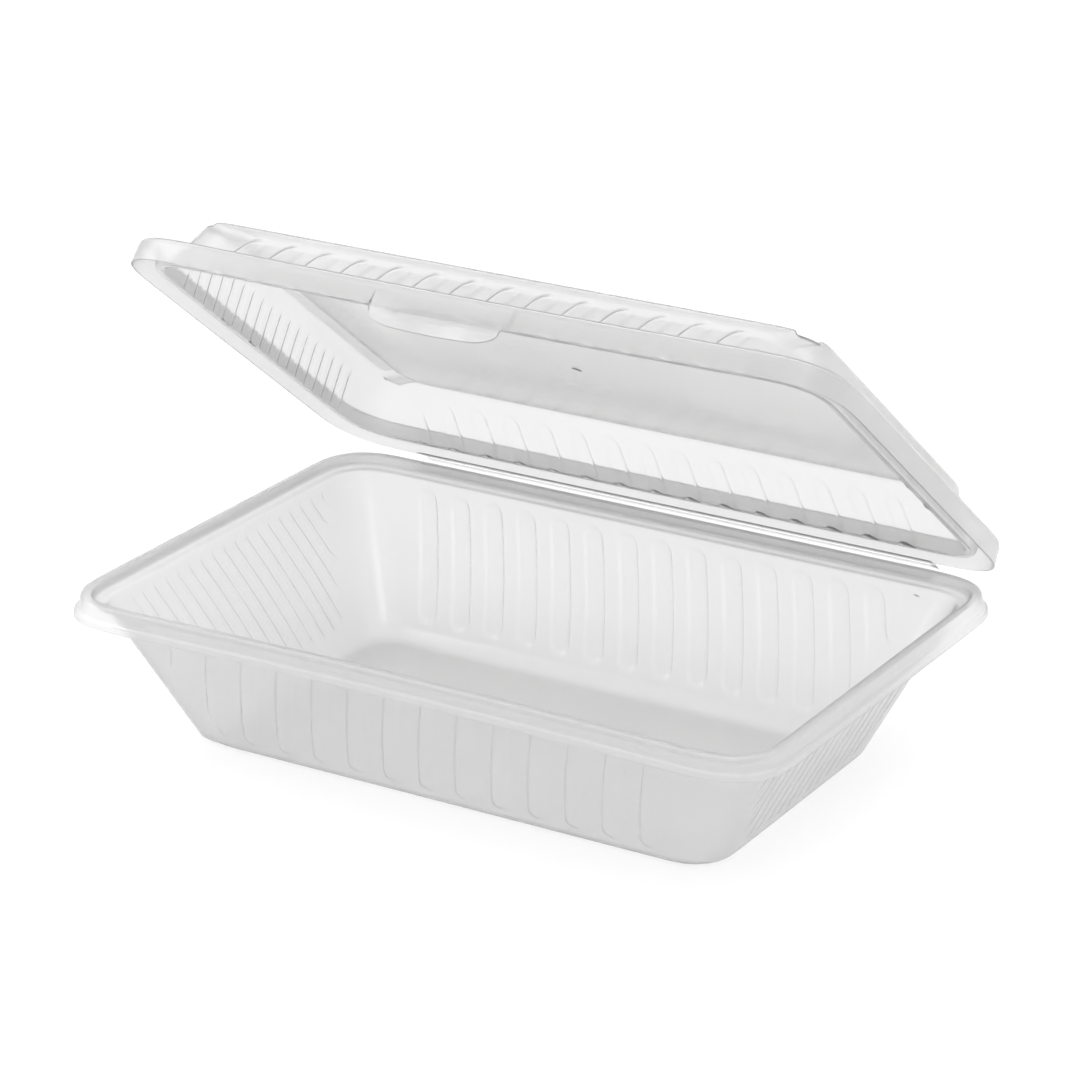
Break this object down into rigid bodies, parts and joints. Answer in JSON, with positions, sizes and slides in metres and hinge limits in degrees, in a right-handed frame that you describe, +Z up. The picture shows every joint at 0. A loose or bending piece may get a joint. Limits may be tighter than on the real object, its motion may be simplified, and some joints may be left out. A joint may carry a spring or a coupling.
{
  "type": "takeaway meal container",
  "caption": "Empty clear plastic takeaway meal container: a ribbed tapered tray with an attached shallow lid, hinged along the back and standing open.",
  "frame": {"origin": "the middle of the flat foot that the tray stands on", "axes": "+X to the right along the long side, +Y back towards the hinge, +Z up"},
  "size_m": [0.232, 0.1651, 0.1521],
  "materials": {
    "tray_plastic": "slightly frosted clear polypropylene",
    "lid_plastic": "slightly frosted clear polypropylene"
  },
  "bodies": {
    "tray": {"tray": "tray_plastic"},
    "lid": {"lid": "lid_plastic"}
  },
  "joints": [
    {"name": "lid_hinge", "type": "hinge", "parent": "tray", "child": "lid", "pos_m": [0, 0.086, 0.0455], "axis": [-1, 0, 0], "range_deg": [-37.3, 142.7]}
  ]
}
